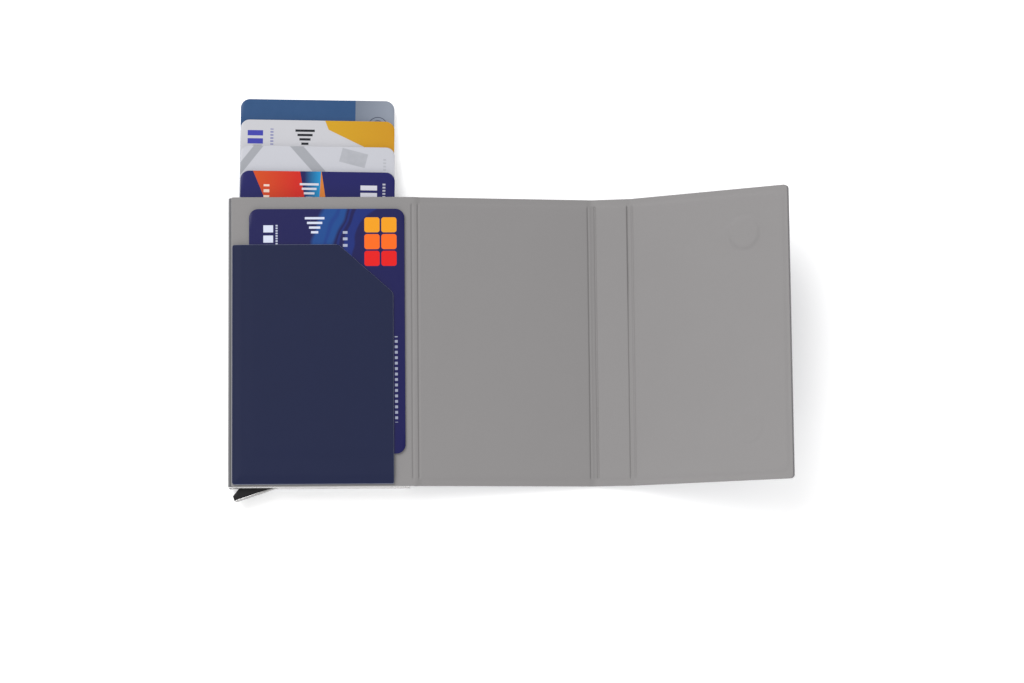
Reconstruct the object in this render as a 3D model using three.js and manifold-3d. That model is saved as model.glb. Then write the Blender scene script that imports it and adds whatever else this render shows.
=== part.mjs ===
// Minimalist wallet: an aluminium pop-up card case with a glued cover that folds around it.
// Millimetres, +Z up. The origin is the centre of the case's back face; +Y is the card mouth.
// The cover lies open: panel, spine and flap run away from the case along +X.

import * as THREE from 'three';
import { mergeVertices } from 'three/addons/utils/BufferGeometryUtils.js';
import Module from 'manifold-3d';

const wasm = await Module();
wasm.setup();

// ---- driving dimensions ----

const CARD = { width: 53.98, length: 85.6, thick: 0.76, corner: 3.18 };
const GLUE = 0.05;                    // bonded layers stand this far apart
const CLEAR = 0.3;                    // clearance beside a moving or turned piece
const ARC = 6;                        // segments in a corner's arc

const CASE = { width: 63, length: 101.6, thick: 8, wall: 1, corner: 2, chamfer: 0.4 };
const BACK_SKIN = 0.7;
const FRONT_SKIN = 0.6;
const LINING = 0.5;
const COVER = { height: 101, skin: 0.8, board: 1.0, border: 2.8, freeBorder: 2, corner: 1.8 };
const COVER_THICK = COVER.skin + COVER.board + LINING + 2 * GLUE;

// lengths along the cover, from the case outwards
const GLUED_EDGE = 32.25;             // right edge of the layers bonded to the case
const CREASE = { a: 2.95, b: 2.9, c: 2.6 };
const PANEL_LENGTH = 59.8;
const SPINE_LENGTH = 11.3;
const FLAP_LENGTH = 58;
// height of each fold's axis over the inner face of the cover
const AXIS_OVER_FACE = { a: 0.9, b: -0.6, c: -1.2 };
const FOLD_A_X = 31.9;
// how far each fold is turned out of the flat sheet, in degrees, as the wallet lies open
const SPINE_SLOPE = 11;
const FLAP_SLOPE = 29.5;

// positive heights up the stack of layers
const SHELL_Z = BACK_SKIN + GLUE;
const SHELL_TOP = SHELL_Z + CASE.thick;
const FRONT_SKIN_Z = SHELL_TOP + GLUE;
const LINING_Z = FRONT_SKIN_Z + FRONT_SKIN + GLUE;
const LINING_TOP = LINING_Z + LINING;
const INNER_LOW = SHELL_Z + CASE.wall;
const INNER_HIGH = SHELL_TOP - CASE.wall;
const INNER_HALF = CASE.width / 2 - CASE.wall;
const CASE_END = CASE.length / 2;

const POCKET = { left: -29.3, right: 26.4, bottom: -49.8, top: 33.6, thick: 0.6, rim: 2.5, cutX: 20, cutY: 18 };
const POCKET_CARD = { x: 2.8, y: 3.4 };

// cards in the case, front card first: height of the middle plane, travel out of the case
const STACK = [
  { z: 6.55, travel: 11.1 },
  { z: 5.35, travel: 20.2 },
  { z: 4.15, travel: 29.7 },
  { z: 2.95, travel: 37.3 },
];
const CARD_LEAN = -1.0;               // degrees, the slack that the rails leave
const CARD_X = -1.1;
const SEATED_Y = 6.2;                 // middle of a card that is pushed home

const RAIL = { width: 1.25, low: -36, high: 49.8, chamfer: 0.75 };
const FELT = { width: 50, low: 40, high: 49, thick: 0.5 };
const PLUG = { left: -11.4, depth: 2.5 };

const PIVOT = { x: -15.9, y: -46.5, pinRadius: 1, holeRadius: 1.15 };
const LEVER_REST = 18.6;              // degrees out of the case
const LEVER = { tip: -31.3, tipHeight: 1.6, face: 0.45, hub: 3.3, armBase: -47.2, armTop: -38 };
const STEP_REACH = [12.9, 23.5, 34.6, 43.5];   // arm lengths, front card first
const STEP_PITCH = 1.2;

const MAGNET = { radius: 5, reach: 41.3, y: [36.3, -32] };
const KEEPER = { radius: 5.5, thick: 0.4 };
const DISC_SIDES = 32;

// ---- materials ----

const paint = (colour, roughness, metalness = 0) =>
  new THREE.MeshStandardMaterial({ color: colour, roughness, metalness });

const COLOUR = {
  aluminium: 0xb9babd, navy: 0x2f3850, lining: 0x918f90, board: 0x8a7a62, black: 0x1b1b1d,
  steel: 0x9a9b9e, felt: 0x2a2a2c,
};
const aluminium = () => paint(COLOUR.aluminium, 0.35, 0.9);
const navySkin = () => paint(COLOUR.navy, 0.75);
const greyLining = () => paint(COLOUR.lining, 0.8);
const greyBoard = () => paint(COLOUR.board, 0.95);
const blackPlastic = () => paint(COLOUR.black, 0.5);
const steel = () => paint(COLOUR.steel, 0.3, 1);

// ---- geometry helpers ----

const rad = THREE.MathUtils.degToRad;

function roundedRect(x0, y0, x1, y1, r) {
  const shape = new THREE.Shape();
  shape.absarc(x1 - r, y0 + r, r, -Math.PI / 2, 0);
  shape.absarc(x1 - r, y1 - r, r, 0, Math.PI / 2);
  shape.absarc(x0 + r, y1 - r, r, Math.PI / 2, Math.PI);
  shape.absarc(x0 + r, y0 + r, r, Math.PI, 1.5 * Math.PI);
  return shape;
}

function outline(points) {
  return new THREE.Shape(points.map(([x, y]) => new THREE.Vector2(x, y)));
}

// a shape in X and Y, thick from z0 to z1
function slab(shape, z0, z1) {
  const geometry = new THREE.ExtrudeGeometry(shape, { depth: z1 - z0, bevelEnabled: false, curveSegments: ARC });
  return geometry.translate(0, 0, z0);
}

// a profile in X and Z, long from y0 to y1, its ends chamfered
function bar(profile, y0, y1, chamfer = 0) {
  const geometry = new THREE.ExtrudeGeometry(profile, {
    depth: y1 - y0 - 2 * chamfer,
    bevelEnabled: chamfer > 0,
    bevelThickness: chamfer,
    bevelSize: chamfer,
    bevelOffset: -chamfer,
    bevelSegments: 1,
    curveSegments: ARC,
  });
  return geometry.translate(0, 0, -y1 + chamfer).rotateX(Math.PI / 2);
}

function box(x0, y0, z0, x1, y1, z1) {
  const geometry = new THREE.BoxGeometry(x1 - x0, y1 - y0, z1 - z0);
  return geometry.translate((x0 + x1) / 2, (y0 + y1) / 2, (z0 + z1) / 2);
}

function disc(x, y, radius, z0, z1) {
  const geometry = new THREE.CylinderGeometry(radius, radius, z1 - z0, DISC_SIDES).rotateX(Math.PI / 2);
  return geometry.translate(x, y, (z0 + z1) / 2);
}

function toSolid(geometry) {
  const bare = geometry.clone();
  bare.deleteAttribute('normal');
  bare.deleteAttribute('uv');
  const merged = mergeVertices(bare, 1e-4);
  return new wasm.Manifold(new wasm.Mesh({
    numProp: 3,
    vertProperties: new Float32Array(merged.attributes.position.array),
    triVerts: new Uint32Array(merged.index.array),
  }));
}

function toGeometry(solid) {
  const mesh = solid.getMesh();
  const geometry = new THREE.BufferGeometry();
  geometry.setAttribute('position', new THREE.BufferAttribute(mesh.vertProperties, 3));
  geometry.setIndex(new THREE.BufferAttribute(mesh.triVerts, 1));
  geometry.computeVertexNormals();
  return geometry;
}

const cut = (geometry, ...tools) =>
  toGeometry(tools.reduce((solid, tool) => solid.subtract(toSolid(tool)), toSolid(geometry)));

const join = (geometry, ...others) =>
  toGeometry(others.reduce((solid, other) => solid.add(toSolid(other)), toSolid(geometry)));

function add(parent, name, geometry, material) {
  const mesh = new THREE.Mesh(geometry, material);
  mesh.name = name;
  parent.add(mesh);
  return mesh;
}

function foldGroup(parent, x, z, degrees) {
  const group = new THREE.Group();
  group.position.set(x, 0, z);
  group.rotation.y = -rad(degrees);
  parent.add(group);
  return group;
}

const wallet = new THREE.Group();

// ---- closed positions that the fold axes fix ----

const halfCreaseB = CREASE.b / 2;
const halfCreaseC = CREASE.c / 2;
const panelStart = GLUED_EDGE + CREASE.a - FOLD_A_X;
const axisB = {
  x: panelStart + PANEL_LENGTH + halfCreaseB,
  z: AXIS_OVER_FACE.b - AXIS_OVER_FACE.a,
};
const axisPitch = halfCreaseB + SPINE_LENGTH + halfCreaseC;
// with the cover closed, the flap's fold axis comes to rest beside the case's left wall
const closedFlapAxisX = FOLD_A_X - axisB.x + AXIS_OVER_FACE.c - AXIS_OVER_FACE.b;
const keeperX = closedFlapAxisX + MAGNET.reach;

// the cover's outer face meets the table where the panel ends, at the second crease
const foldAHeight = LINING_TOP + AXIS_OVER_FACE.a;
const outerDrop = AXIS_OVER_FACE.a + COVER_THICK;
const panelEnd = panelStart + PANEL_LENGTH;
const PANEL_SLOPE = THREE.MathUtils.radToDeg(
  Math.atan2(outerDrop, panelEnd) - Math.asin(foldAHeight / Math.hypot(panelEnd, outerDrop)));

// ---- the card case ----

function buildShell() {
  const half = CASE.width / 2;
  const profile = roundedRect(-half, SHELL_Z, half, SHELL_TOP, CASE.corner);
  const innerCorner = CASE.corner - CASE.wall;
  profile.holes.push(roundedRect(-INNER_HALF, INNER_LOW, INNER_HALF, INNER_HIGH, innerCorner));
  const tube = bar(profile, -CASE_END, CASE_END, CASE.chamfer);
  const leverNotch = box(-half - 1, -CASE_END - 1, INNER_LOW + 0.6, -INNER_HALF + 1.5, -45, INNER_HIGH - 0.6);
  const recesses = MAGNET.y.map((y) =>
    disc(keeperX, y, KEEPER.radius + CLEAR, SHELL_Z - 1, SHELL_Z + KEEPER.thick + GLUE));
  const pinHole = disc(PIVOT.x, PIVOT.y, PIVOT.holeRadius, SHELL_Z - 1, SHELL_TOP + 1);
  add(wallet, 'case_shell', cut(tube, leverNotch, pinHole, ...recesses), aluminium());
}

function buildRails() {
  const low = INNER_LOW + GLUE;
  const high = INNER_HIGH - GLUE;
  const outer = INNER_HALF - GLUE;
  for (const [name, side] of [['guide_rail_left', -1], ['guide_rail_right', 1]]) {
    const points = [
      [outer - RAIL.width, low], [outer - RAIL.chamfer, low], [outer, low + RAIL.chamfer],
      [outer, high - RAIL.chamfer], [outer - RAIL.chamfer, high], [outer - RAIL.width, high],
    ];
    const profile = outline(points.map(([x, z]) => [side * x, z]));
    add(wallet, name, bar(profile, RAIL.low, RAIL.high), blackPlastic());
  }
}

function buildBasePlug() {
  const profile = roundedRect(PLUG.left, INNER_LOW + GLUE, INNER_HALF - GLUE, INNER_HIGH - GLUE,
    CASE.corner - CASE.wall);
  const end = CASE_END - CASE.chamfer;
  add(wallet, 'base_plug', bar(profile, -end, -end + PLUG.depth), blackPlastic());
}

function buildFelts() {
  const half = FELT.width / 2;
  const pad = roundedRect(-half, FELT.low, half, FELT.high, 1);
  const backZ = INNER_LOW + GLUE;
  const frontZ = INNER_HIGH - GLUE;
  const colour = () => paint(COLOUR.felt, 1);
  add(wallet, 'felt_pad_back', slab(pad, backZ, backZ + FELT.thick), colour());
  add(wallet, 'felt_pad_front', slab(pad, frontZ - FELT.thick, frontZ), colour());
}

function buildBondedLayers() {
  const half = CASE.width / 2 - 1.2;
  const end = COVER.height / 2;
  const backOutline = roundedRect(-half, -end, half, end, COVER.corner);
  add(wallet, 'back_skin', slab(backOutline, 0, BACK_SKIN), navySkin());
  const front = roundedRect(-half, -end, GLUED_EDGE, end, 0.4);
  add(wallet, 'case_front_skin', slab(front, FRONT_SKIN_Z, FRONT_SKIN_Z + FRONT_SKIN), navySkin());
  add(wallet, 'front_lining', slab(front, LINING_Z, LINING_TOP), greyLining());
  for (const [name, y] of [['keeper_disc_top', MAGNET.y[0]], ['keeper_disc_bottom', MAGNET.y[1]]]) {
    add(wallet, name, disc(keeperX, y, KEEPER.radius, SHELL_Z, SHELL_Z + KEEPER.thick), steel());
  }
}

function buildPocket() {
  const { left, right, bottom, top, thick, rim, cutX, cutY } = POCKET;
  const low = LINING_TOP + GLUE;
  const plateZ = low + CARD.thick + GLUE;
  const shape = outline([
    [left, bottom], [right, bottom], [right, top - cutY], [right - 1, top - cutY + 2],
    [right - cutX + 2, top - 1], [right - cutX, top], [left, top],
  ]);
  const cavity = box(left + rim, bottom + rim, low - 1, right + 1, top + 1, plateZ);
  add(wallet, 'pocket', cut(slab(shape, low, plateZ + thick), cavity), navySkin());

  const card = add(wallet, 'pocket_card', cardGeometry(), paint(0x28355f, 0.35));
  card.position.set(POCKET_CARD.x, POCKET_CARD.y, low + CARD.thick / 2);
}

// ---- cards ----

function cardGeometry() {
  const { width, length, thick, corner } = CARD;
  return slab(roundedRect(-width / 2, -length / 2, width / 2, length / 2, corner), -thick / 2, thick / 2);
}

function buildCards() {
  const colours = [0x2c2e64, 0xc9cad4, 0xdededf, 0x3c5b85];
  STACK.forEach(({ z, travel }, i) => {
    const card = add(wallet, `card_${i + 1}`, cardGeometry(), paint(colours[i], 0.35));
    card.position.set(CARD_X, SEATED_Y + travel, z);
    card.rotation.z = rad(CARD_LEAN);
  });
}

// ---- the trigger lever, drawn closed and then turned out on its pin ----

function buildTrigger() {
  const group = new THREE.Group();
  group.position.set(PIVOT.x, PIVOT.y, 0);
  group.rotation.z = rad(LEVER_REST);
  wallet.add(group);

  const low = INNER_LOW + 0.7;
  const high = INNER_HIGH - 0.7;
  const faceY = -CASE_END - PIVOT.y + LEVER.face + GLUE;
  const tip = LEVER.tip - PIVOT.x;
  const tab = outline([
    [tip, faceY], [LEVER.hub, faceY], [LEVER.hub, 2.6], [0, LEVER.hub], [-6, LEVER.hub],
    [-9, 1.9], [tip, faceY + LEVER.tipHeight],
  ]);
  const top = LEVER.armTop - PIVOT.y;
  const base = LEVER.armBase - PIVOT.y;
  const steps = STEP_REACH.map((reach, i) => {
    const z = STACK[i].z;
    const arm = outline([
      [0, base], [LEVER.hub, base], [reach - 1, top - 3.2], [reach, top - 2.2], [reach, top - 0.6],
      [reach - 0.6, top], [reach - 4, top], [-2, LEVER.hub - 0.5],
    ]);
    return slab(arm, z - STEP_PITCH / 2 - 0.01, z + STEP_PITCH / 2 + 0.01);
  });
  const hub = disc(0, 0, LEVER.hub, low, high);
  const body = join(slab(tab, low, high), hub, ...steps);
  const hole = disc(0, 0, PIVOT.holeRadius, low - 2, high + 2);
  add(group, 'trigger_lever', cut(body, hole), blackPlastic());

  const face = box(tip + 0.3, faceY - GLUE - LEVER.face, low, LEVER.hub - 0.6, faceY - GLUE, high);
  add(group, 'trigger_face', face, aluminium());
  add(wallet, 'lever_pivot_pin', disc(PIVOT.x, PIVOT.y, PIVOT.pinRadius, SHELL_Z, SHELL_TOP), steel());
}

// ---- the folding cover ----

// one stiff panel: skin tray, board and lining; `face` is the inner face's height in its group
function buildPanel(group, name, start, length, face, { free = false, holes = [] } = {}) {
  const end = COVER.height / 2;
  const stop = start + length;
  const boardEnd = end - COVER.border;
  const boardStop = free ? stop - COVER.freeBorder : stop - 0.2;
  const skinLow = face - COVER_THICK;
  const boardLow = skinLow + COVER.skin + GLUE;
  const boardHigh = boardLow + COVER.board;

  const sheet = free ? roundedFreeEdge(start, stop, end) : roundedRect(start, -end, stop, end, 0.2);
  const recessStop = free ? boardStop + GLUE : stop + 1;
  const recess = box(start - 1, -boardEnd - GLUE, boardLow - GLUE, recessStop, boardEnd + GLUE, boardHigh + 1);
  add(group, `${name}_skin`, cut(slab(sheet, skinLow, boardHigh), recess), navySkin());

  const board = roundedRect(start + 0.2, -boardEnd, boardStop, boardEnd, 0.2);
  for (const [x, y] of holes) {
    const hole = new THREE.Path();
    hole.absarc(x, y, MAGNET.radius + CLEAR, 0, 2 * Math.PI);
    board.holes.push(hole);
  }
  add(group, `${name}_board`, slab(board, boardLow, boardHigh), greyBoard());
  add(group, `${name}_lining`, slab(sheet, boardHigh + GLUE, face), greyLining());
  return { boardLow, boardHigh };
}

function roundedFreeEdge(start, stop, end) {
  const r = COVER.corner;
  const shape = new THREE.Shape();
  shape.moveTo(start, -end);
  shape.absarc(stop - r, -end + r, r, -Math.PI / 2, 0);
  shape.absarc(stop - r, end - r, r, 0, Math.PI / 2);
  shape.lineTo(start, end);
  return shape;
}

// the thin living hinge between two panels, turned half as far as the fold
function buildCrease(parent, name, x, z, degrees, u0, u1, face) {
  const group = foldGroup(parent, x, z, degrees / 2);
  const end = COVER.height / 2;
  const low = face - COVER_THICK + CLEAR;
  const high = face - 2 * CLEAR;
  add(group, name, box(u0 + CLEAR, -end, low, u1 - CLEAR, end, high), navySkin());
}

function buildCover() {
  buildCrease(wallet, 'crease_strip_a', FOLD_A_X, foldAHeight, PANEL_SLOPE,
    GLUED_EDGE - FOLD_A_X, panelStart, -AXIS_OVER_FACE.a);
  const panelFold = foldGroup(wallet, FOLD_A_X, foldAHeight, PANEL_SLOPE);
  buildPanel(panelFold, 'front_panel', panelStart, PANEL_LENGTH, -AXIS_OVER_FACE.a);

  const spineTurn = SPINE_SLOPE - PANEL_SLOPE;
  buildCrease(panelFold, 'crease_strip_b', axisB.x, axisB.z, spineTurn,
    -halfCreaseB, halfCreaseB, -AXIS_OVER_FACE.b);
  const spineFold = foldGroup(panelFold, axisB.x, axisB.z, spineTurn);
  buildPanel(spineFold, 'spine', halfCreaseB, SPINE_LENGTH, -AXIS_OVER_FACE.b);

  const flapTurn = FLAP_SLOPE - SPINE_SLOPE;
  const axisDrop = AXIS_OVER_FACE.c - AXIS_OVER_FACE.b;
  buildCrease(spineFold, 'crease_strip_c', axisPitch, axisDrop, flapTurn,
    -halfCreaseC, halfCreaseC, -AXIS_OVER_FACE.c);
  const flapFold = foldGroup(spineFold, axisPitch, axisDrop, flapTurn);
  const spots = MAGNET.y.map((y) => [MAGNET.reach, y]);
  const { boardLow, boardHigh } = buildPanel(flapFold, 'flap', halfCreaseC, FLAP_LENGTH,
    -AXIS_OVER_FACE.c, { free: true, holes: spots });
  ['magnet_top', 'magnet_bottom'].forEach((name, i) => {
    add(flapFold, name, disc(...spots[i], MAGNET.radius, boardLow, boardHigh), steel());
  });
}

buildShell();
buildRails();
buildBasePlug();
buildFelts();
buildBondedLayers();
buildPocket();
buildCards();
buildTrigger();
buildCover();

export default wallet;
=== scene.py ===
"""Looks for the minimalist wallet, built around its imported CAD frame. Metres, +Z up."""

from math import cos, hypot, pi, radians, sin

import bmesh
import bpy
import numpy as np
from mathutils import Matrix, Vector, noise


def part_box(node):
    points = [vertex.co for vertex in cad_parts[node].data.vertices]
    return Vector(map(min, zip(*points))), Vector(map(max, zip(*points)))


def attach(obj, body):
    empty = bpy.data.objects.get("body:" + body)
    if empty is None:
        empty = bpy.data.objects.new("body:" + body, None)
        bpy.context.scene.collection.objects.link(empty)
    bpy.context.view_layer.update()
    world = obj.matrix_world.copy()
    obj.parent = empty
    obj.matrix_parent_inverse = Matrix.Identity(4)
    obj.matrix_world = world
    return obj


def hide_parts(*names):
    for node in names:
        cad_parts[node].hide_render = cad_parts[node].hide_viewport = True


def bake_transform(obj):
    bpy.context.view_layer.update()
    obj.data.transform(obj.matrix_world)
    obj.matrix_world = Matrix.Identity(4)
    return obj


MM = 0.001
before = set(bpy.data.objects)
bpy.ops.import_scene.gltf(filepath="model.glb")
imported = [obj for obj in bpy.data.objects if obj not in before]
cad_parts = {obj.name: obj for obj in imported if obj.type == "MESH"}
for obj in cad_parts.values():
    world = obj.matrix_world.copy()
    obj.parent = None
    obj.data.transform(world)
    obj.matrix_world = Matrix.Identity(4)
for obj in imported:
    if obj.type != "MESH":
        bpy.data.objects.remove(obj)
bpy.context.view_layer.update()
scene = bpy.context.scene


# ---------------------------------------------------------------- numbers and shapes

def smooth(x, lo, hi):
    t = np.clip((x - lo) / (hi - lo), 0, 1)
    return t * t * (3 - 2 * t)


def bell(x, centre, width):
    return np.exp(-(((x - centre) / width) ** 2))


def wander(x, y, scale, seed):
    """Smooth noise from -1 to 1 at each point; scale is the size of a wave in millimetres."""
    flat = [noise.noise(Vector((a / scale, b / scale, seed)))
            for a, b in zip(x.ravel(), y.ravel())]
    return np.array(flat).reshape(x.shape)


def stations(lo, hi, step, fine_lo=(), fine_hi=(), extra=()):
    """Rising positions from lo to hi: steps, closer ones near each end, and any extra ones."""
    even = np.linspace(lo, hi, max(2, int(round((hi - lo) / step)) + 1))
    margin_lo = max(fine_lo, default=0)
    margin_hi = max(fine_hi, default=0)
    keep = even[(even > lo + margin_lo + step / 3) & (even < hi - margin_hi - step / 3)]
    extra = np.array([e for e in extra if lo < e < hi])
    keep = np.array([k for k in keep if not len(extra) or np.abs(extra - k).min() > step / 3])
    found = np.concatenate([[lo, hi], lo + np.array(fine_lo), hi - np.array(fine_hi), keep, extra])
    return np.unique(np.round(found, 5))


def corner_depths(radius, count=9):
    """Distances from an edge at which a corner's arc has its points."""
    return [radius * (1 - sin(a)) for a in np.linspace(0, pi / 2, count, endpoint=False)]


RIM = (0.03, 0.1, 0.2, 0.28)          # distances from an edge of the rings that round it off, mm


def rows(xs, low, high, count, fine=RIM):
    """A grid of Y, one array row per X: rings beside both edges and even steps between them.
    low and high give the edges at each X."""
    lo, hi = low(xs), high(xs)
    last = fine[-1]
    grid = [lo] + [lo + f for f in fine]
    grid += [lo + last + (hi - lo - 2 * last) * t for t in np.linspace(0, 1, count)[1:-1]]
    grid += [hi - f for f in fine[::-1]] + [hi]
    return np.array(grid).T


def rounded(depth, radius):
    """How far a rounded edge has dropped at this distance in from the outline."""
    d = np.clip(radius - depth, 0, radius)
    return radius - np.sqrt(np.maximum(radius ** 2 - d ** 2, 0))


def rect_depth(x, y, x0, x1, y0, y1, r0, r1):
    """Distance in from a rounded rectangle's outline; r0 and r1 are the radii at its X ends."""
    cx, cy = (x0 + x1) / 2, (y0 + y1) / 2
    r = np.where(x < cx, r0, r1)
    qx = np.abs(x - cx) - ((x1 - x0) / 2 - r)
    qy = np.abs(y - cy) - ((y1 - y0) / 2 - r)
    out = np.hypot(np.maximum(qx, 0), np.maximum(qy, 0))
    return r - out - np.minimum(np.maximum(qx, qy), 0)


def rect_edges(x0, x1, y0, y1, r0, r1):
    """The lower and upper edge of a rounded rectangle as functions of X."""
    def inset(x):
        return np.maximum(rounded(x - x0, r0), rounded(x1 - x, r1))
    return lambda x: y0 + inset(x), lambda x: y1 - inset(x)


def path_depth(x, y, points):
    """Distance from each point to a closed outline."""
    starts = np.array(points)
    sides = np.roll(starts, -1, axis=0) - starts
    flat = np.stack([x.ravel(), y.ravel()], 1)
    best = np.full(len(flat), np.inf)
    for start, side in zip(starts, sides):
        t = np.clip(((flat - start) @ side) / (side @ side), 0, 1)
        best = np.minimum(best, np.hypot(*(flat - start - t[:, None] * side).T))
    return best.reshape(x.shape)


def fillet(points, steps=8):
    """A closed outline from (x, y, radius) corners."""
    made = []
    n = len(points)
    for i, (x, y, r) in enumerate(points):
        here = np.array([x, y], float)
        before = np.array(points[i - 1][:2], float) - here
        after = np.array(points[(i + 1) % n][:2], float) - here
        before /= np.linalg.norm(before)
        after /= np.linalg.norm(after)
        half = np.arccos(np.clip(before @ after, -1, 1)) / 2
        reach = r / np.tan(half)
        bisector = (before + after) / np.linalg.norm(before + after)
        centre = here + bisector * r / np.sin(half)
        a = here + before * reach - centre
        b = here + after * reach - centre
        turn = np.arctan2(a[0] * b[1] - a[1] * b[0], a @ b)
        for t in np.linspace(0, turn, steps + 1):
            made.append(centre + [a[0] * cos(t) - a[1] * sin(t), a[0] * sin(t) + a[1] * cos(t)])
    return np.array(made)


# ---------------------------------------------------------------- meshes

def new_object(name, data):
    obj = bpy.data.objects.new(name, data)
    scene.collection.objects.link(obj)
    return obj


def mesh_object(name, bm, mats):
    """An object made of this bmesh, which is used up, and these materials."""
    mesh = bpy.data.meshes.new(name)
    bm.to_mesh(mesh)
    bm.free()
    for mat in mats:
        mesh.materials.append(mat)
    return new_object(name, mesh)


def shade(bm, degrees=33):
    """Smooth faces, with sharp edges where the surface turns by more than this."""
    for f in bm.faces:
        f.smooth = True
    for e in bm.edges:
        e.smooth = len(e.link_faces) == 2 and e.calc_face_angle(0) < radians(degrees)


def solid(name, top, bottom, mats, edge_ring=0):
    """A closed sheet between two grids of points in millimetres.
    Materials go to the top, the bottom and the edge, with edge_ring rings of the top beside them."""
    n, m = top.shape[:2]
    bm = bmesh.new()
    upper = [[bm.verts.new(Vector(top[i, j]) * MM) for j in range(m)] for i in range(n)]
    lower = [[bm.verts.new(Vector(bottom[i, j]) * MM) for j in range(m)] for i in range(n)]
    for i in range(n - 1):
        for j in range(m - 1):
            f = bm.faces.new((upper[i][j], upper[i + 1][j], upper[i + 1][j + 1], upper[i][j + 1]))
            ring = min(i, j, n - 2 - i, m - 2 - j)
            f.material_index = 2 if ring < edge_ring else 0
            f = bm.faces.new((lower[i][j], lower[i][j + 1], lower[i + 1][j + 1], lower[i + 1][j]))
            f.material_index = 1
    rim = [(i, 0) for i in range(n)] + [(n - 1, j) for j in range(1, m)]
    rim += [(i, m - 1) for i in range(n - 2, -1, -1)] + [(0, j) for j in range(m - 2, 0, -1)]
    for (i, j), (p, q) in zip(rim, rim[1:] + rim[:1]):
        f = bm.faces.new((upper[i][j], lower[i][j], lower[p][q], upper[p][q]))
        f.material_index = 2
    bmesh.ops.recalc_face_normals(bm, faces=bm.faces)
    shade(bm)
    return mesh_object(name, bm, mats)


HARD_CORNER = 25                      # a CAD edge turns by more than this, degrees


def finished(node, name, width, mat, edge_mat, bright_ends=False):
    """A copy of a CAD node with its hard edges rounded; the rounded edges take edge_mat,
    and with bright_ends so do the chamfers at the ends along Y."""
    bm = bmesh.new()
    bm.from_mesh(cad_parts[node].data)
    bmesh.ops.remove_doubles(bm, verts=bm.verts, dist=1e-6)
    bmesh.ops.dissolve_limit(bm, angle_limit=radians(1), verts=bm.verts, edges=bm.edges)
    for f in bm.faces:
        f.material_index = 0
    hard = [e for e in bm.edges
            if len(e.link_faces) == 2 and e.calc_face_angle(0) > radians(HARD_CORNER)]
    made = bmesh.ops.bevel(bm, geom=hard, offset=width * MM, offset_type="OFFSET", segments=2,
                           profile=0.5, affect="EDGES", clamp_overlap=True)
    for f in made["faces"]:
        f.material_index = 1
    for f in bm.faces:
        chamfer = 0.3 < abs(f.normal.y) < 0.95
        if bright_ends and chamfer:
            f.material_index = 1
    shade(bm, 30)
    obj = mesh_object(name, bm, [mat, edge_mat])
    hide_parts(node)
    return obj


# ---------------------------------------------------------------- node trees

def math_node(kind):
    """A method of Num that adds a Math node of this kind."""
    return lambda self, *others: self.op(kind, *others)


class Num:
    """A number in a material's node tree; arithmetic on it adds Math nodes."""

    def __init__(self, tree, socket):
        self.tree, self.socket = tree, socket

    def op(self, kind, *others, clamp=False):
        made = self.tree.nodes.new("ShaderNodeMath")
        made.operation, made.use_clamp = kind, clamp
        for slot, value in zip(made.inputs, (self, *others)):
            feed(self.tree, slot, value)
        return Num(self.tree, made.outputs[0])

    __add__, __sub__ = math_node("ADD"), math_node("SUBTRACT")
    __mul__ = math_node("MULTIPLY")
    abs, sqrt = math_node("ABSOLUTE"), math_node("SQRT")
    min, max = math_node("MINIMUM"), math_node("MAXIMUM")
    fold = math_node("PINGPONG")

    def __neg__(self):
        return self * -1

    def __rsub__(self, other):
        return -self + other

    def ramp(self, start, length, base=0.0):
        """Rises from base by 1 over this length, and stays between 0 and 1."""
        return ((self - start) * (1 / length)).op("ADD", base, clamp=True)


def feed(tree, slot, value):
    """Links a number or a node's output to an input, or sets a constant there."""
    if isinstance(value, Num):
        tree.links.new(value.socket, slot)
    elif isinstance(value, bpy.types.NodeSocket):
        tree.links.new(value, slot)
    elif slot.type == "RGBA":
        slot.default_value = (*value, 1)
    else:
        slot.default_value = value


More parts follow.
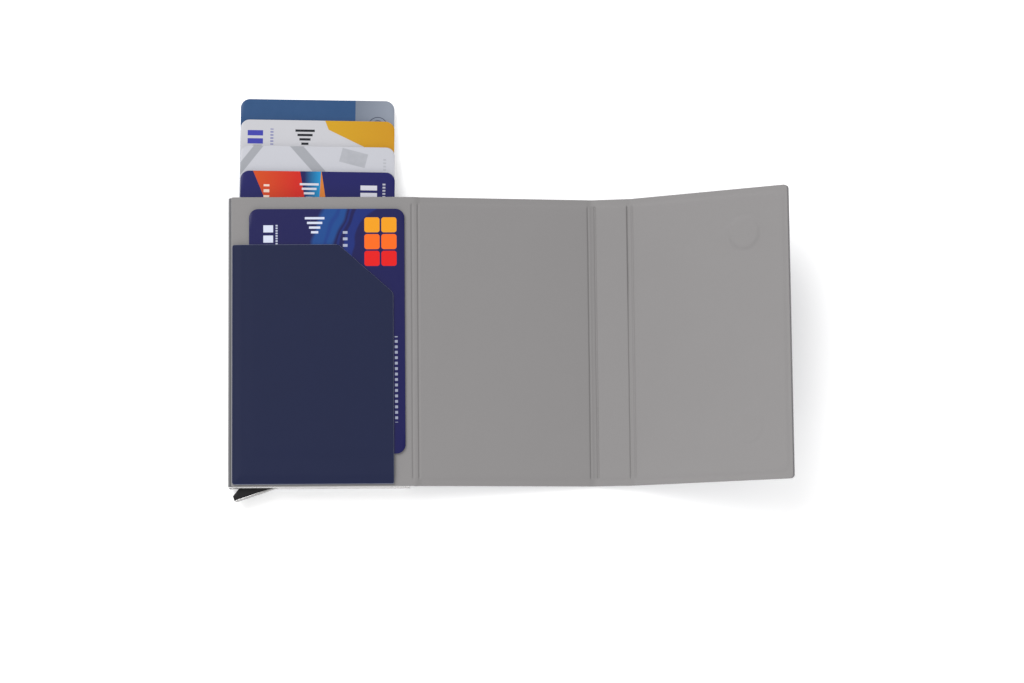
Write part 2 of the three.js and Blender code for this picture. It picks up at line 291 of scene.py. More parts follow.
class Paint:
    """A Principled material under construction, in the object's own coordinates in millimetres."""

    def __init__(self, name, roughness=0.5, metallic=0.0, **constants):
        self.mat = bpy.data.materials.new(name)
        self.mat.use_nodes = True
        self.tree = self.mat.node_tree
        self.shader = self.tree.nodes["Principled BSDF"]
        self.shader.inputs["Roughness"].default_value = roughness
        self.shader.inputs["Metallic"].default_value = metallic
        for key, value in constants.items():
            self.shader.inputs[key.replace("_", " ")].default_value = value
        place = self.tree.nodes.new("ShaderNodeTexCoord")
        scaled = self.tree.nodes.new("ShaderNodeVectorMath")
        scaled.operation = "SCALE"
        self.tree.links.new(place.outputs["Object"], scaled.inputs[0])
        scaled.inputs["Scale"].default_value = 1 / MM
        self.place = scaled.outputs[0]
        split = self.tree.nodes.new("ShaderNodeSeparateXYZ")
        self.tree.links.new(self.place, split.inputs[0])
        self.x, self.y, self.z = (Num(self.tree, s) for s in split.outputs)

    def noise(self, size, detail=2.0, rough=0.5, stretch=None, distortion=0.0):
        """Noise from 0 to 1 whose waves are about this many millimetres long."""
        made = self.tree.nodes.new("ShaderNodeTexNoise")
        vector = self.place
        if stretch:
            by = self.tree.nodes.new("ShaderNodeVectorMath")
            by.operation = "MULTIPLY"
            self.tree.links.new(vector, by.inputs[0])
            by.inputs[1].default_value = stretch
            vector = by.outputs[0]
        self.tree.links.new(vector, made.inputs["Vector"])
        made.inputs["Scale"].default_value = 1 / size
        made.inputs["Detail"].default_value = detail
        made.inputs["Roughness"].default_value = rough
        made.inputs["Distortion"].default_value = distortion
        return Num(self.tree, made.outputs[0])

    def cells(self, size):
        """Distance from the middle of the nearest cell, in cells of about this many millimetres."""
        made = self.tree.nodes.new("ShaderNodeTexVoronoi")
        self.tree.links.new(self.place, made.inputs["Vector"])
        made.inputs["Scale"].default_value = 1 / size
        return Num(self.tree, made.outputs["Distance"])

    def mix(self, share, a, b):
        """Colour a with this share of colour b."""
        made = self.tree.nodes.new("ShaderNodeMix")
        made.data_type = "RGBA"
        feed(self.tree, made.inputs[0], share)
        feed(self.tree, made.inputs[6], a)
        feed(self.tree, made.inputs[7], b)
        return made.outputs[2]

    def colour(self, value):
        feed(self.tree, self.shader.inputs["Base Color"], value)

    def rough(self, value):
        feed(self.tree, self.shader.inputs["Roughness"], value)

    def bump(self, height, depth):
        """Relief; depth is in millimetres for a height of 1."""
        made = self.tree.nodes.new("ShaderNodeBump")
        made.inputs["Distance"].default_value = depth * MM
        feed(self.tree, made.inputs["Height"], height)
        self.tree.links.new(made.outputs[0], self.shader.inputs["Normal"])


def srgb(r, g, b):
    """A colour from 0 to 255 as seen, in the linear values that a shader takes."""
    return tuple((c / 12.92 if c <= 0.04045 else ((c + 0.055) / 1.055) ** 2.4)
                 for c in (r / 255, g / 255, b / 255))


CARD_GAIN, CARD_HAZE, DARKEST_INK = 0.9, 0.023, 0.003


def ink(r, g, b):
    """A card's colour as seen, less the light that the card's gloss adds."""
    return tuple(max(c * CARD_GAIN - CARD_HAZE, DARKEST_INK) for c in srgb(r, g, b))


def shift(colour, by):
    """A lighter or darker shade."""
    return tuple(min(1, c * by) for c in colour)


# ---------------------------------------------------------------- printed shapes on cards, in mm

# In these, p is the card's Paint, cx and cy are a shape's centre, measured from the card's middle
# with Y towards its upper end, and hw and hh are its half width and half height.
SOFT_EDGE = 0.05


def cover_of(distance, soft=SOFT_EDGE):
    """1 inside a shape and 0 outside, from the distance to its edge."""
    return (distance * (-1 / soft)).op("ADD", 0.5, clamp=True)


def slab_distance(p, cx, cy, hw, hh, lean=0.0):
    """Distance outside a block with this centre, these half sizes and this lean in degrees."""
    x, y = p.x - cx, p.y - cy
    if lean:
        c, s = cos(radians(lean)), sin(radians(lean))
        x, y = x * c + y * s, y * c - x * s
    return (x.abs() - hw).max(y.abs() - hh)


def block(p, cx, cy, hw, hh, lean=0.0, soft=SOFT_EDGE):
    """A block with square corners."""
    return cover_of(slab_distance(p, cx, cy, hw, hh, lean), soft)


def tile(p, cx, cy, hw, hh, r):
    """A block with corners of radius r."""
    x = ((p.x - cx).abs() - (hw - r)).max(0.0)
    y = ((p.y - cy).abs() - (hh - r)).max(0.0)
    return cover_of((x * x + y * y).sqrt() - r)


def radius_from(p, cx, cy):
    """Distance from a centre."""
    x, y = p.x - cx, p.y - cy
    return (x * x + y * y).sqrt()


def left_of(p, x0, y0, x1, y1):
    """How far a point is to the left of the line from one point to another."""
    dx, dy = x1 - x0, y1 - y0
    return ((p.y - y0) * dx - (p.x - x0) * dy) * (1 / hypot(dx, dy))


def right_part(p, x0, y0, x1, y1):
    """1 on the print's right of a line drawn downwards, 0 on its left."""
    return cover_of(-left_of(p, x0, y0, x1, y1))


def stripe(p, x0, y0, x1, y1, half):
    """A slanting stripe of this half width about a line."""
    return cover_of(left_of(p, x0, y0, x1, y1).abs() - half, 0.15)


def bars(p, cx, cy, widths, pitch, half):
    """A stack of level bars, the top one first."""
    made = None
    for i, w in enumerate(widths):
        one = slab_distance(p, cx, cy - i * pitch, w, half)
        made = one if made is None else made.min(one)
    return cover_of(made)


def ticks(p, cx, cy, hw, hh, pitch, duty):
    """A column of short marks, pitch apart, filling this share of it."""
    gap = p.y.fold(pitch / 2) - duty * pitch / 2
    return cover_of(slab_distance(p, cx, cy, hw, hh).max(gap))


def card_finish(name, base):
    """The laminated surface that all the cards share: faint mottling, fine scuffs and a satin coat."""
    p = Paint(name, Specular_IOR_Level=0.25, Coat_Weight=0.08, Coat_Roughness=0.25)
    scuff = p.noise(0.5, 4, 0.6, stretch=(1, 0.12, 1))
    p.rough(scuff * 0.16 + 0.3)
    p.bump(p.noise(1.6, 3) + scuff * 0.3, 0.006)
    mottling = p.noise(9, 3) * 0.14
    return p, p.mix(mottling, base, shift(base, 0.72))


def paint_pocket_card():
    navy, blue, mid = ink(37, 44, 90), ink(48, 86, 150), ink(36, 62, 130)
    white = ink(214, 220, 238)
    p, c = card_finish("pocket_card_print", navy)
    swirl = radius_from(p, 32, 27) + (p.noise(14, 1) - 0.5) * 7
    fade = p.y.ramp(8, 14, 0.12)
    rings = [(22.5, 25.8, 0.5, 0.75, mid), (29.3, 36.5, 1.2, 0.85, blue),
             (31.8, 33.0, 0.8, 0.5, mid), (27.3, 28.2, 0.4, 0.6, mid)]
    for lo, hi, soft, strength, tint in rings:
        ring = cover_of((swirl - (lo + hi) / 2).abs() - (hi - lo) / 2, soft)
        c = p.mix(ring * fade * strength, c, tint)
    c = p.mix(bars(p, -4.2, 39.5, (3.4, 2.65, 1.95, 1.25), 1.65, 0.4), c, white)
    emblem = [(ink(240, 160, 12), 37.1), (ink(252, 112, 4), 31.2), (ink(226, 38, 28), 25.3)]
    for tint, height in emblem:
        for side in (15.7, 21.6):
            c = p.mix(tile(p, side, height, 2.65, 2.65, 0.9), c, tint)
    for height in (35.8, 32.2, 28.6):
        c = p.mix(block(p, -20.3, height, 1.7, 1.25), c, white)
    c = p.mix(ticks(p, -17.4, 32.2, 0.35, 5.2, 0.9, 0.6) * 0.8, c, white)
    c = p.mix(ticks(p, 6.4, 31.5, 0.8, 3.4, 2.3, 0.42) * 0.6, c, white)
    c = p.mix(ticks(p, 23.95, -17, 0.5, 15, 1.9, 0.5) * 0.5, c, white)
    p.colour(c)
    return p.mat


def paint_card_1():
    navy, white = ink(45, 45, 100), ink(214, 214, 224)
    p, c = card_finish("card_1_print", navy)
    orange = p.mix(p.x.ramp(-24, 16.67), ink(207, 88, 47), ink(205, 54, 32))
    sky = p.mix(p.x.ramp(-4.6, 5.5), ink(42, 36, 94), ink(46, 146, 200))
    c = p.mix(right_part(p, -22.7, 43, -18.4, 33), c, orange)
    c = p.mix(right_part(p, -6.2, 43, -4.4, 33), c, sky)
    c = p.mix(right_part(p, 1.2, 43, 0.7, 33), c, ink(212, 128, 62))
    c = p.mix(right_part(p, 1.3, 43, 2.9, 33), c, navy)
    c = p.mix(bars(p, -2.9, 38.2, (3.3, 2.55, 1.85, 1.2), 1.6, 0.38), c, white)
    for height in (37.2, 34.6):
        c = p.mix(block(p, 17.9, height, 2.9, 0.85), c, white)
    c = p.mix(ticks(p, 23.2, 35.8, 0.5, 3.4, 1.1, 0.55) * 0.7, c, white)
    c = p.mix(ticks(p, -17.8, 35.4, 1.0, 2.6, 2.1, 0.5), c, ink(238, 214, 200))
    c = p.mix(ticks(p, 6.0, 34.4, 2.6, 0.8, 3.0, 0.5) * 0.6, c, white)
    p.colour(c)
    return p.mat


def paint_card_2():
    pale, grey = ink(199, 200, 207), ink(164, 166, 172)
    p, c = card_finish("card_2_print", pale)
    c = p.mix(stripe(p, -20.5, 43, -27.0, 34.5, 1.35), c, grey)
    c = p.mix(stripe(p, -7.6, 43, 0.5, 34, 1.75), c, grey)
    patchy = p.noise(2.5, 3) * 0.5 + 0.4
    c = p.mix(block(p, 12.6, 38.9, 4.6, 2.5, -14, 0.2) * patchy, c, grey)
    c = p.mix(ticks(p, 23.5, 36.5, 0.5, 2.6, 1.2, 0.5) * 0.5, c, grey)
    p.colour(c)
    return p.mat


def paint_card_3():
    pale, black, purple = ink(200, 200, 205), ink(44, 50, 54), ink(72, 74, 168)
    p, c = card_finish("card_3_print", pale)
    gold = p.mix(p.x.ramp(5, 22.2), ink(205, 158, 48), ink(200, 146, 44))
    steep_side = 1 - cover_of(left_of(p, 2.4, 43.2, 3.9, 39.4))
    gentle_side = 1 - cover_of(left_of(p, 2.5, 40.2, 15.7, 33.9))
    c = p.mix(steep_side * gentle_side, c, gold)
    c = p.mix(bars(p, -4.4, 39.1, (3.4, 2.65, 1.95, 1.25), 1.55, 0.42), c, black)
    for height in (38.1, 35.2):
        c = p.mix(block(p, -21.8, height, 2.7, 0.95), c, purple)
    c = p.mix(ticks(p, -16, 36.8, 0.55, 2.9, 1.1, 0.55) * 0.75, c, ink(110, 112, 170))
    grey_part = stripe(p, -19.5, 35.5, -26, 28, 1.2) * block(p, -22, 31, 6, 3)
    c = p.mix(grey_part, c, ink(172, 172, 176))
    p.colour(c)
    return p.mat


def paint_card_4():
    blue = ink(55, 84, 124)
    p, c = card_finish("card_4_print", blue)
    c = p.mix(p.noise(4, 4, 0.6) * 0.35, c, ink(70, 99, 142))
    silver = p.mix(p.x.ramp(13, 12), ink(120, 128, 142), ink(144, 151, 164))
    c = p.mix(cover_of(13.3 - p.x), c, silver)
    for reach in (3.3, 2.1):
        arc = cover_of((radius_from(p, 21.2, 33.6) - reach).abs() - 0.13)
        c = p.mix(arc * 0.9, c, ink(62, 66, 84))
    p.colour(c)
    return p.mat


def paint_card_back():
    """A dark stripe along the card, a plain pale panel and a fine ruled field."""
    p, c = card_finish("card_back_print", ink(206, 207, 211))
    c = p.mix(block(p, 16.5, 0, 6.0, 60), c, ink(30, 30, 33))
    c = p.mix(block(p, 2.4, 8, 3.6, 24), c, ink(228, 228, 222))
    c = p.mix(ticks(p, -12, 0, 0.5, 30, 1.4, 0.55) * 0.6, c, ink(120, 122, 130))
    p.colour(c)
    return p.mat


def paint_card_edge(name, core):
    """The core of a laminated card, with its layers as fine lines."""
    p = Paint(name)
    layers = p.z.fold(0.1) * 6
    p.colour(p.mix(layers.op("MULTIPLY", 0.6, clamp=True), core, shift(core, 0.8)))
    p.bump(p.noise(0.2, 2), 0.004)
    return p.mat


# ---------------------------------------------------------------- other materials

def paint_lining():
    """Matt coated lining: fine pebbled grain, faint cloudiness, a little sheen."""
    tint = srgb(135, 133, 133)
    p = Paint("grey_lining_coat", Sheen_Weight=0.04, Sheen_Roughness=0.5, Specular_IOR_Level=0.25)
    pebble = p.cells(0.32)
    fine = p.noise(0.22, 4, 0.65)
    cloud = p.noise(14, 3, 0.55)
    c = p.mix(cloud * 0.3, tint, shift(tint, 0.9))
    c = p.mix(fine * 0.2, c, shift(tint, 1.16))
    c = p.mix((pebble * 0.5).min(0.25), c, shift(tint, 0.84))
    p.colour(c)
    p.rough(fine * 0.12 + (cloud * 0.08 + 0.6))
    p.bump(fine * 0.6 + pebble * 0.7 + p.noise(2.2, 2) * 0.9, 0.012)
    return p.mat


def paint_navy():
    """Matt navy skin with a fine woven grain and worn high spots."""
    tint = srgb(18, 26, 58)
    p = Paint("navy_skin_coat", Sheen_Weight=0.03, Sheen_Roughness=0.45, Specular_IOR_Level=0.22)
    pitch = 0.42
    warp = (p.x + p.y).fold(pitch / 2) * (2 / pitch)
    weft = (p.x - p.y).fold(pitch / 2) * (2 / pitch)
    weave = warp.max(weft)
    fine = p.noise(0.35, 4, 0.6)
    cloud = p.noise(11, 3, 0.55)
    c = p.mix(cloud * 0.45, tint, shift(tint, 0.78))
    c = p.mix(weave * 0.22, c, shift(tint, 1.5))
    high_spots = (fine - 0.62).op("MULTIPLY", 3.0, clamp=True)
    c = p.mix(high_spots * 0.35, c, shift(tint, 1.9))
    p.colour(c)
    p.rough(fine * 0.15 + (weave * -0.1 + 0.6))
    p.bump(weave * 0.7 + fine * 0.8, 0.02)
    return p.mat


def paint_worn_edge(name, roughness, size, dark, light):
    """The painted edge of a sheet, worn in patches of this size."""
    p = Paint(name, roughness)
    worn = p.noise(size, 4, 0.6)
    p.colour(p.mix(worn, dark, light))
    p.bump(worn, 0.02)
    return p.mat


def paint_aluminium(name, tint, roughness, depth):
    """Anodised aluminium: bead-blasted grain with faint extrusion lines along Y."""
    p = Paint(name, metallic=1.0)
    blast = p.noise(0.12, 3, 0.7)
    drawn = p.noise(0.5, 3, 0.6, stretch=(1, 0.02, 1))
    c = p.mix(drawn * 0.35, tint, shift(tint, 0.86))
    p.colour(p.mix(blast * 0.25, c, shift(tint, 1.1)))
    p.rough(blast * 0.12 + (drawn * 0.1 + (roughness - 0.1)))
    p.bump(blast * 0.6 + drawn * 0.5, depth)
    return p.mat


def paint_plastic(name, tint):
    """Moulded plastic with a spark-eroded grain."""
    p = Paint(name, Specular_IOR_Level=0.3)
    grain = p.cells(0.16)
    mottle = p.noise(2.5, 3)
    p.colour(p.mix(mottle * 0.5, tint, shift(tint, 1.6)))
    p.rough(grain * 0.25 + (mottle * 0.1 + 0.35))
    p.bump(grain + mottle * 0.2, 0.012)
    return p.mat


def paint_steel(name, tint, roughness):
    """Turned or stamped steel with fine tool marks along Y."""
    p = Paint(name, metallic=1.0)
    marks = p.noise(0.25, 4, 0.7, stretch=(1, 0.1, 1))
    p.colour(p.mix(marks * 0.4, tint, shift(tint, 0.75)))
    p.rough(marks * 0.2 + (roughness - 0.08))
    p.bump(marks, 0.006)
    return p.mat


def paint_felt():
    """Dense dark pile."""
    p = Paint("felt_pile", 0.95, Sheen_Weight=0.4, Sheen_Roughness=0.6)
    pile = p.noise(0.25, 5, 0.75, distortion=1.5)
    p.colour(p.mix(pile, srgb(28, 28, 30), srgb(62, 62, 66)))
    p.bump(pile + p.cells(0.4) * 0.4, 0.12)
    return p.mat


def paint_board():
    """Grey-brown fibre board with dark flecks."""
    p = Paint("fibre_board", 0.9)
    fibre = p.noise(0.6, 5, 0.7, stretch=(0.25, 1, 1))
    flecks = (p.noise(0.9, 2) - 0.62).op("MULTIPLY", 4.0, clamp=True)
    c = p.mix(fibre, srgb(120, 106, 84), srgb(158, 144, 118))
    p.colour(p.mix(flecks * 0.5, c, srgb(92, 80, 62)))
    p.bump(fibre, 0.05)
    return p.mat


lining = paint_lining()
lining_edge = paint_worn_edge("lining_edge", 0.6, 0.8, srgb(116, 114, 114), srgb(148, 145, 146))
navy = paint_navy()
edge_coat = paint_worn_edge("edge_coat", 0.5, 1.1, srgb(92, 98, 120), srgb(128, 132, 150))
aluminium = paint_aluminium("anodised_aluminium", (0.17, 0.17, 0.178), 0.34, 0.006)
strip = paint_aluminium("brushed_aluminium", (0.34, 0.335, 0.33), 0.36, 0.006)
bright = paint_aluminium("polished_aluminium", (0.56, 0.55, 0.55), 0.2, 0.002)
plastic = paint_plastic("moulded_black", srgb(13, 13, 14))
# the same black plastic painted lighter grey on its rounded edges: a painted highlight for the light
# those edges catch
plastic_edge_highlight = paint_plastic("moulded_black_painted_highlight", srgb(78, 77, 76))
steel = paint_steel("stamped_steel", srgb(170, 172, 176), 0.3)
nickel = paint_steel("nickel_plate", srgb(190, 190, 194), 0.22)
felt = paint_felt()
board = paint_board()
card_back = paint_card_back()


# ---------------------------------------------------------------- the cover, as one swept sheet

# Millimetres. Places along the sheet are measured on its unrolled inner face, where the part bonded
# to the case has the same X as the frame.
SHEET_START, SHEET_END = -30.3, 169.8
HALF_HEIGHT = 50.5
FREE_CORNER, GLUED_CORNER = 1.4, 0.6
CREASES = ((32.25, 35.2), (95.0, 97.9), (109.2, 111.8))
CASE_FACE = 9.95                      # height of the inner face's part on the case, over the floor
FOLDS = (31.9, 96.45, 110.5)          # places of the three fold axes
FACE_OVER_FOLD = (-0.9, 0.6, 1.2)     # height of the inner face over each axis, in the panel after it
SLOPES = (-6.8938, 11.0, 29.5)        # of the panels after the folds, degrees
FIRST_AXIS = (31.9, 10.85)            # X and Z

LINING_THICK, SKIN_THICK, LINING_TO_SKIN = 0.5, 0.62, 0.52
CASE_SKIN_FACE, PANEL_SKIN_FACE = -1.15, -2.4     # the skin's outer face under the inner face
SKIN_STEP = (32.25, 33.6)             # from one to the other
BOARD_START = (33.0, 35.6)
# where the sheet thins beyond the board: beside its edges, its free end and the end's corners
EDGE_BORDER, END_BORDER = (1.0, 3.2), (0.9, 2.3)
CORNER_START, CORNER_BORDER = (4.6, 5.6), (2.3, 4.0)
# how far the lining sinks and the skin rises there, and how far the lining sinks in a crease
PINCH, SKIN_PINCH, CREASE_SINK = 0.28, 0.53, 0.1
SPINE_DIP, DIP_IN, DIP_OUT = 0.34, (94.7, 97.6), (97.7, 98.3)
GROOVE_ENDS = (2.1, 3.0)              # how far from the sheet's edges the grooves fade out
# place, depth, half width, and how much fainter the lower half is
GROOVES = [(32.4, 0.34, 0.36, 0.1), (34.7, 0.34, 0.34, 0.1), (95.1, 0.3, 0.36, 0.0),
           (97.5, 0.26, 0.3, 0.0), (109.15, 0.5, 0.27, 0.35), (110.95, 0.22, 0.36, 0.0)]
# the places of the flap's magnets and of their marks on the front panel: place, Y, rise, radii
MAGNET_PLACE = 153.6
DISC_MARKS = [(MAGNET_PLACE, 35.0, 0.42, (4.8, 6.3)), (MAGNET_PLACE, -32.0, 0.2, (4.8, 6.3)),
              (74.5, 36.3, 0.035, (4.2, 5.8)), (74.5, -32.0, 0.035, (4.2, 5.8))]


def turned(origin, degrees, u, v):
    """The point at u along and v across from an origin, in axes turned by this angle."""
    c, s = cos(radians(degrees)), sin(radians(degrees))
    return origin[0] + u * c - v * s, origin[1] + u * s + v * c


def fold_axes():
    """The three fold axes in X and Z, each set out from the one before."""
    axes = [FIRST_AXIS]
    for i in (0, 1):
        along, rise = FOLDS[i + 1] - FOLDS[i], FACE_OVER_FOLD[i] - FACE_OVER_FOLD[i + 1]
        axes.append(turned(axes[i], SLOPES[i], along, rise))
    return axes


AXES = fold_axes()


def face_line(s):
    """The sheet's inner face in X and Z for places s along it."""
    ease = 0.6
    line = np.stack([s, np.full_like(s, CASE_FACE)])
    for axis, slope, fold, rise, (lo, hi) in zip(AXES, SLOPES, FOLDS, FACE_OVER_FOLD, CREASES):
        panel = np.stack(turned(axis, slope, s - fold, rise))
        share = smooth(s, lo - ease, hi + ease)
        line = line * (1 - share) + panel * share
    return line


def face_normal(s):
    """The direction out of the inner face, in X and Z."""
    step = 0.02
    along = face_line(s + step) - face_line(s - step)
    along /= np.hypot(*along)
    return np.stack([-along[1], along[0]])


def lift(s, y, heights):
    """Points of the sheet at heights over its inner face."""
    p, n = face_line(s), face_normal(s)
    return np.stack([p[0] + n[0] * heights, y, p[1] + n[1] * heights], axis=-1)


def border_of(s, y):
    """1 where the sheet is pinched thin beyond the board's edges, 0 over the board."""
    across, free = HALF_HEIGHT - np.abs(y), SHEET_END - s
    wave = wander(s, y, 7, 3.1) * 0.22
    border = np.maximum(1 - smooth(across + wave * 0.3, *EDGE_BORDER),
                        1 - smooth(free + wave, *END_BORDER))
    corner = np.hypot(np.clip(CORNER_START[0] - free, 0, None),
                      np.clip(CORNER_START[1] - across, 0, None))
    return np.maximum(border, smooth(corner, *CORNER_BORDER)) * smooth(s, *BOARD_START)


def cover_heights(s, y):
    """Depth in from the sheet's outline, and the heights over the flat inner face of the
    lining's top and of the skin's outer and inner face."""
    depth = rect_depth(s, y, SHEET_START, SHEET_END, -HALF_HEIGHT, HALF_HEIGHT,
                       GLUED_CORNER, FREE_CORNER)
    inside = smooth(HALF_HEIGHT - np.abs(y), *GROOVE_ENDS)
    on_board = smooth(s, *BOARD_START)
    border = border_of(s, y)
    crease = sum(smooth(s, lo, lo + 0.6) * (1 - smooth(s, hi - 0.6, hi)) for lo, hi in CREASES)
    top = -PINCH * border - CREASE_SINK * crease * inside
    top = top - SPINE_DIP * smooth(s, *DIP_IN) * (1 - smooth(s, *DIP_OUT)) * inside
    for at, deep, width, fade in GROOVES:
        strength = deep * (1 - fade * (1 - smooth(y, 2, 24)))
        top = top - strength * bell(s + 0.06 * wander(s, y, 9, at), at, width) * inside
    for at, across, rise, radii in DISC_MARKS:
        top = top + rise * (1 - smooth(np.hypot(s - at, y - across), *radii))
    top = top + 0.05 * wander(s, y, 26, 8.8) * on_board * (1 - border)
    top = top + 0.02 * wander(s, y, 6, 2.2) * border

    thin = np.clip(border + crease * on_board, 0, 1)
    step = PANEL_SKIN_FACE + SKIN_PINCH * thin - CASE_SKIN_FACE
    skin_bottom = CASE_SKIN_FACE + step * smooth(s, *SKIN_STEP) + 0.03 * wander(s, y, 22, 5.0)
    against_lining = top - LINING_TO_SKIN
    skin_top = np.minimum(skin_bottom + SKIN_THICK, against_lining)
    skin_top = skin_top + (against_lining - skin_top) * border ** 2      # meets the lining at the rim
    return depth, top, skin_bottom, skin_top


# the pieces of the sheet and where each starts and ends; the CAD nodes whose lining and skin it shows
PARTS = [("case", SHEET_START, 33.75), ("panel", 33.75, 65.0),
         ("spine", 65.0, 103.5), ("flap", 103.5, SHEET_END)]
LINING_FOR = {"case": ["front_lining"], "panel": ["front_panel_lining"],
              "spine": ["spine_lining"], "flap": ["flap_lining"]}
SKIN_FOR = {"case": ["case_front_skin", "crease_strip_a"], "panel": ["front_panel_skin"],
            "spine": ["spine_skin", "crease_strip_b"], "flap": ["flap_skin", "crease_strip_c"]}
BORDER_ROWS = (*RIM, 0.6, 1.2, 1.9, 2.15, 2.4, 2.65, 2.9, 3.2)
ROW_COUNT, FLAP_ROW_COUNT = 74, 180   # the flap has more, for its magnet bumps


def sheet_columns(lo, hi):
    """Places along the sheet for one part, close together at its creases and magnets."""
    extra = [s for a, b in CREASES for s in np.arange(a - 0.8, b + 0.8, 0.11)]
    extra += list(np.arange(MAGNET_PLACE - 7, MAGNET_PLACE + 7.1, 0.5))
    extra = [s for s in extra if lo < s < hi]
    fine_lo = (*RIM, *corner_depths(GLUED_CORNER, 5)) if lo == SHEET_START else ()
    fine_hi = (*RIM, *corner_depths(FREE_CORNER), 2.0, 2.2, 2.4, 2.7) if hi == SHEET_END else ()
    return stations(lo, hi, 1.4, fine_lo, fine_hi, extra)


def build_cover():
    low, high = rect_edges(SHEET_START, SHEET_END, -HALF_HEIGHT, HALF_HEIGHT,
                           GLUED_CORNER, FREE_CORNER)
    for part, lo, hi in PARTS:
        s1 = sheet_columns(lo, hi)
        count = FLAP_ROW_COUNT if part == "flap" else ROW_COUNT
        y = rows(s1, low, high, count, BORDER_ROWS)
        s = np.repeat(s1[:, None], y.shape[1], 1)
        depth, top, skin_bottom, skin_top = cover_heights(s, y)
        outer_drop, inner_drop = rounded(depth, 0.2), rounded(depth, 0.1)
        made = [
            (f"cover_lining_{part}", top - outer_drop, top - LINING_THICK + inner_drop,
             [lining, lining, lining_edge], "grey_lining", LINING_FOR[part]),
            (f"cover_skin_{part}", skin_top - inner_drop, skin_bottom + outer_drop,
             [navy, navy, lining_edge], "navy_skin", SKIN_FOR[part]),
        ]
        for name, upper, lower, mats, slot, nodes in made:
            piece = solid(name, lift(s, y, upper), lift(s, y, lower), mats)
            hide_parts(*nodes)
            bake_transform(piece)


# ---------------------------------------------------------------- the pocket

# a bank card's width, length, thickness and corner radius
CARD_W, CARD_H, CARD_T, CARD_R = 53.98, 85.6, 0.76, 3.18
# heights over the floor of the pocket's top and of the underside of its sewn edge and of its middle
POCKET_TOP, SEAM_LOW, PLATE_LOW = 11.41, 10.0, 10.81
POCKET_OUTLINE = [(-30.0, -49.8, 1.0), (25.8, -49.8, 0.6), (25.8, 16.6, 2.2), (6.8, 33.6, 2.2),
                  (-30.0, 33.6, 0.8)]
SEAM_PINCH = 0.42
CARD_CROWN = 0.1                      # how far the card inside lifts the leather
# the card inside, from its left to its right and its lower to its upper edge; it is carried on
# past the pocket on the right and at the top, where the leather stays lifted
POCKET_CARD_BOX = (-24.19, 40, -39.4, 60)


def pocket_sides(outline):
    """The outline's left and right part, each from the bottom to the top."""
    centre_x = -5.0
    for keep in (outline[:, 0] < centre_x, outline[:, 0] >= centre_x):
        part = outline[keep]
        yield part[np.argsort(part[:, 1], kind="stable")]


def build_pocket():
    outline = fillet(POCKET_OUTLINE)
    left = outline[:, 0].min()
    bottom, top = outline[:, 1].min(), outline[:, 1].max()
    fine = (*RIM, 0.45, 0.8, 1.2, 1.7, 2.2, 2.6, 3.0)
    extra = [v for v in outline[:, 1] if bottom + 0.25 < v < top - 0.25]
    levels = stations(bottom, top, 1.2, fine, fine, extra)
    lo, hi = (np.interp(levels, side[:, 1], side[:, 0]) for side in pocket_sides(outline))
    # this grid has a row for each level of Y, and its columns run from left to right
    x = rows(levels, lambda _: lo, lambda _: hi, 44, fine)
    y = np.repeat(levels[:, None], x.shape[1], 1)
    depth = path_depth(x, y, outline)
    sewn = np.minimum(x - left, y - bottom)
    over_card = smooth(rect_depth(x, y, *POCKET_CARD_BOX, CARD_R, CARD_R), -1.2, 1.2)
    upper = POCKET_TOP + CARD_CROWN * (over_card - 1) - SEAM_PINCH * (1 - smooth(sewn, 0.3, 3.4))
    upper = upper - rounded(depth, 0.22) + 0.035 * wander(x, y, 18, 1.7)
    seam = 1 - smooth(sewn, 2.2, 2.5)
    lower = PLATE_LOW - (PLATE_LOW - SEAM_LOW) * seam + rounded(depth, 0.06)
    piece = solid("pocket_leather", np.stack([x, y, np.minimum(upper, POCKET_TOP)], -1),
                  np.stack([x, y, lower], -1), [navy, navy, edge_coat], edge_ring=2)
    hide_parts("pocket")
    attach(piece, "case")


# ---------------------------------------------------------------- cards

CARD_LEAN = -1.0                      # of the fanned cards, degrees
CARD_RIM = (0.02, 0.06, 0.12, 0.18)


def build_card(name, card, face, core, lean):
    """A card in the place of the CAD node card, whose body has that name too."""
    box = (-CARD_W / 2, CARD_W / 2, -CARD_H / 2, CARD_H / 2, CARD_R, CARD_R)
    low, high = rect_edges(*box)
    fine = (*CARD_RIM, *corner_depths(CARD_R, 12))
    x1 = stations(-CARD_W / 2, CARD_W / 2, 6.0, fine, fine)
    y = rows(x1, low, high, 16, CARD_RIM)
    x = np.repeat(x1[:, None], y.shape[1], 1)
    z = CARD_T / 2 - rounded(rect_depth(x, y, *box), 0.12)
    piece = solid(name, np.stack([x, y, z], -1), np.stack([x, y, -z], -1),
                  [face, card_back, core], edge_ring=1)
    a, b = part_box(card)
    piece.matrix_world = Matrix.Translation((a + b) / 2) @ Matrix.Rotation(radians(lean), 4, "Z")
    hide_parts(card)
    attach(piece, card)


def build_cards():
    white_core = paint_card_edge("card_core_white", srgb(226, 226, 228))
    blue_core = paint_card_edge("card_core_blue", srgb(58, 66, 112))
    build_card("card_in_pocket", "pocket_card", paint_pocket_card(), blue_core, 0)
    stack = [(paint_card_1(), blue_core), (paint_card_2(), white_core),
             (paint_card_3(), white_core), (paint_card_4(), blue_core)]
    for i, (face, core) in enumerate(stack, 1):
        build_card(f"fanned_card_{i}", f"card_{i}", face, core, CARD_LEAN)


# ---------------------------------------------------------------- the case and its hard parts

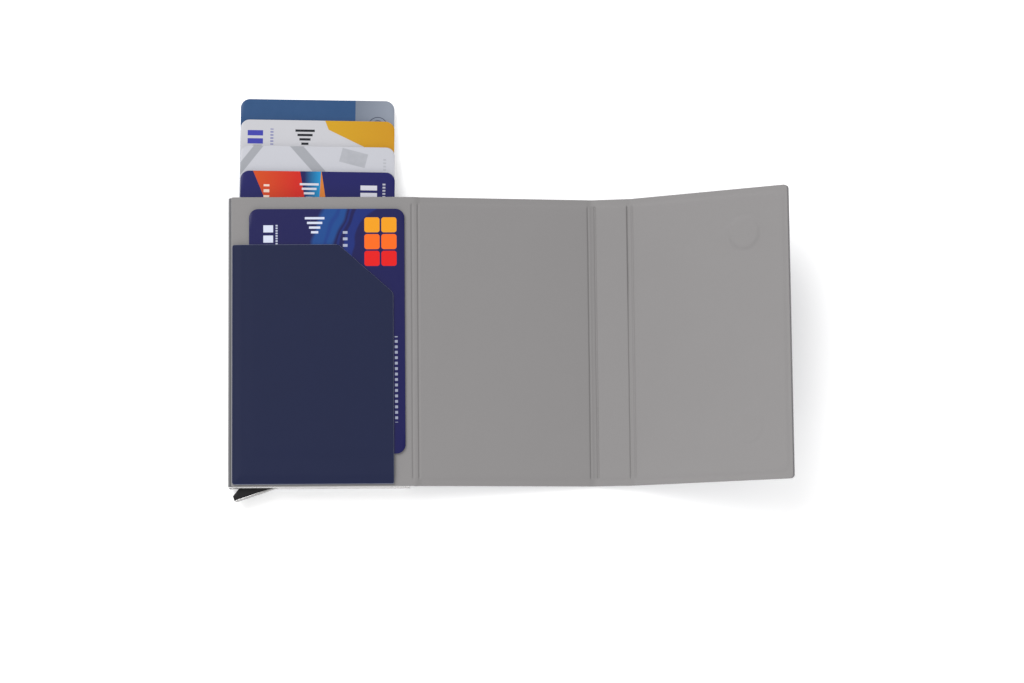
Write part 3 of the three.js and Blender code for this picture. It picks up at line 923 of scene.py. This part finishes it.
def build_back_skin():
    """The skin under the case; its upper face is flat and its lower one has rounded edges."""
    a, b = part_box("back_skin")
    x0, y0, z0 = a / MM
    x1, y1, z1 = b / MM
    corner = 1.8
    low, high = rect_edges(x0, x1, y0, y1, corner, corner)
    fine = (*RIM, *corner_depths(corner, 8))
    s1 = stations(x0, x1, 2.0, fine, fine)
    y = rows(s1, low, high, 50)
    x = np.repeat(s1[:, None], y.shape[1], 1)
    depth = rect_depth(x, y, x0, x1, y0, y1, corner, corner)
    uneven = 0.02 * smooth(depth, 0, 4) * (1 + wander(x, y, 20, 6.0))
    under = z0 + rounded(depth, 0.25) + uneven
    piece = solid("back_leather", np.stack([x, y, np.full_like(x, z1)], -1),
                  np.stack([x, y, under], -1), [navy, navy, edge_coat])
    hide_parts("back_skin")
    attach(piece, "case")


def build_hard_parts():
    # CAD node, piece, width of its rounded edges, material, material of the edges, slot, body
    made = [
        ("case_shell", "aluminium_case", 0.26, aluminium, bright, "aluminium", "case"),
        ("trigger_lever", "trigger_moulding", 0.3, plastic, plastic_edge_highlight, "black_plastic", "trigger"),
        ("trigger_face", "trigger_strip", 0.08, strip, bright, "aluminium", "trigger"),
        ("base_plug", "plug_moulding", 0.12, plastic, plastic_edge_highlight, "black_plastic", "case"),
        ("guide_rail_left", "rail_moulding_left", 0.1, plastic, plastic_edge_highlight, "black_plastic", "case"),
        ("guide_rail_right", "rail_moulding_right", 0.1, plastic, plastic_edge_highlight, "black_plastic", "case"),
    ]
    for node, name, width, mat, edge, slot, body in made:
        piece = finished(node, name, width, mat, edge, bright_ends=(node == "case_shell"))
        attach(piece, body)


def dress_inner_nodes():
    """Materials for the CAD nodes that stay as they are."""
    looks = {
        "felt_pad_back": (felt, "felt"), "felt_pad_front": (felt, "felt"),
        "keeper_disc_top": (steel, "steel"), "keeper_disc_bottom": (steel, "steel"),
        "lever_pivot_pin": (steel, "steel"),
        "magnet_top": (nickel, "magnet"), "magnet_bottom": (nickel, "magnet"),
        "front_panel_board": (board, "stiffener"), "spine_board": (board, "stiffener"),
        "flap_board": (board, "stiffener"),
    }
    for node, (mat, slot) in looks.items():
        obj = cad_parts[node]
        obj.data.materials.clear()
        obj.data.materials.append(mat)


# ---------------------------------------------------------------- stage, light and camera

FLOOR_SIZE, FLOOR_DROP, FLOOR_GLOW = 3, 0.00005, 0.31
WORLD_STRENGTH = 0.62
# name, place, size and power; both face the middle of the wallet
LIGHTS = [("key", (-0.75, 0.9, 1.3), 1.3, 24.0), ("low", (0.03, -0.42, 0.26), 0.4, 0.75)]
LIT_POINT = (0.065, 0.01, 0)


def build_floor():
    p = Paint("pale_floor", 0.85, Specular_IOR_Level=0.1)
    p.colour(p.mix(p.noise(300, 2) * 0.2, (0.93, 0.93, 0.93), (0.9, 0.9, 0.9)))
    p.shader.inputs["Emission Color"].default_value = (1, 1, 1, 1)
    p.shader.inputs["Emission Strength"].default_value = FLOOR_GLOW
    bm = bmesh.new()
    bmesh.ops.create_grid(bm, x_segments=8, y_segments=8, size=FLOOR_SIZE)
    floor = mesh_object("floor", bm, [p.mat])
    floor.location.z = -FLOOR_DROP


def build_lights():
    world = bpy.data.worlds.new("studio")
    world.use_nodes = True
    back = world.node_tree.nodes["Background"]
    back.inputs["Color"].default_value = (1, 1, 1, 1)
    back.inputs["Strength"].default_value = WORLD_STRENGTH
    scene.world = world
    for name, place, size, power in LIGHTS:
        light = bpy.data.lights.new(name, "AREA")
        light.energy, light.size = power, size
        obj = new_object(name, light)
        obj.location = place
        obj.rotation_mode = "QUATERNION"
        obj.rotation_quaternion = (Vector(LIT_POINT) - Vector(place)).to_track_quat("-Z", "Y")


def build_camera():
    """Almost straight above the wallet, with X level in the picture."""
    elevation, azimuth, roll = radians(82.59), radians(-19.31), radians(18.89)
    distance, target = 1.04729, Vector((0.06737, 0.00068, 0))
    back = Vector((sin(azimuth) * cos(elevation), -cos(azimuth) * cos(elevation), sin(elevation)))
    side = (-back).cross(Vector((0, 0, 1))).normalized()
    up = side.cross(-back)
    right = side * cos(roll) + up * sin(roll)
    top = up * cos(roll) - side * sin(roll)
    data = bpy.data.cameras.new("camera")
    data.lens, data.sensor_width = 104.97, 36
    data.clip_start, data.clip_end = 0.05, 20
    obj = new_object("camera", data)
    turn = Matrix((right, top, back)).transposed().to_4x4()
    obj.matrix_world = Matrix.Translation(target + back * distance) @ turn
    scene.camera = obj


build_cover()
build_pocket()
build_cards()
build_back_skin()
build_hard_parts()
dress_inner_nodes()
build_floor()
build_lights()
build_camera()
scene.view_settings.view_transform = "Standard"
